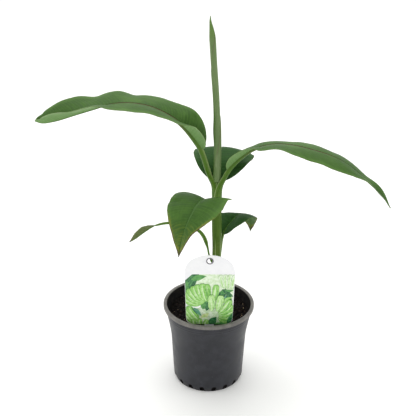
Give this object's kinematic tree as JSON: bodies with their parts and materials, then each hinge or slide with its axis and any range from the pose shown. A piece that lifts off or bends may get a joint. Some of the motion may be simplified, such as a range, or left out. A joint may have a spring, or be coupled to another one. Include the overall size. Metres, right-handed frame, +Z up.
{
  "type": "young banana plant in a nursery pot",
  "caption": "Young banana plant with arching leaves and a rolled new leaf, standing in a round nursery pot with a stick-in label.",
  "frame": {"origin": "middle of the pot's flat underside", "axes": "+Z up, the two long leaves spread along -X and +X, and the label stands on the -Y side, which is the front"},
  "size_m": [0.4412, 0.2216, 0.498],
  "materials": {
    "pot": "matte",
    "soil": "matte",
    "label": "satin",
    "stem": "satin",
    "rolled_leaf": "satin",
    "stalk": "satin",
    "leaf": "satin",
    "dark_leaf": "satin",
    "old_leaf": "satin"
  },
  "bodies": {
    "root": {"pot": "pot", "potting_soil": "soil", "plant_label": "label", "pseudostem": "stem", "spear_leaf": "rolled_leaf", "left_leaf_stalk": "stalk", "left_leaf_blade_inner": "leaf", "left_leaf_blade_outer": "leaf", "right_leaf_stalk": "stalk", "right_leaf_blade_inner": "leaf", "right_leaf_blade_outer": "leaf", "back_leaf_stalk": "stalk", "back_leaf_blade_inner": "dark_leaf", "back_leaf_blade_outer": "dark_leaf", "front_leaf_stalk": "stalk", "front_leaf_blade_inner": "leaf", "front_leaf_blade_outer": "leaf", "lower_right_leaf_stalk": "stalk", "lower_right_leaf_blade_inner": "dark_leaf", "lower_right_leaf_blade_outer": "dark_leaf", "lower_left_leaf_stalk": "stalk", "lower_left_leaf_blade_inner": "old_leaf", "lower_left_leaf_blade_outer": "old_leaf"}
  },
  "joints": []
}
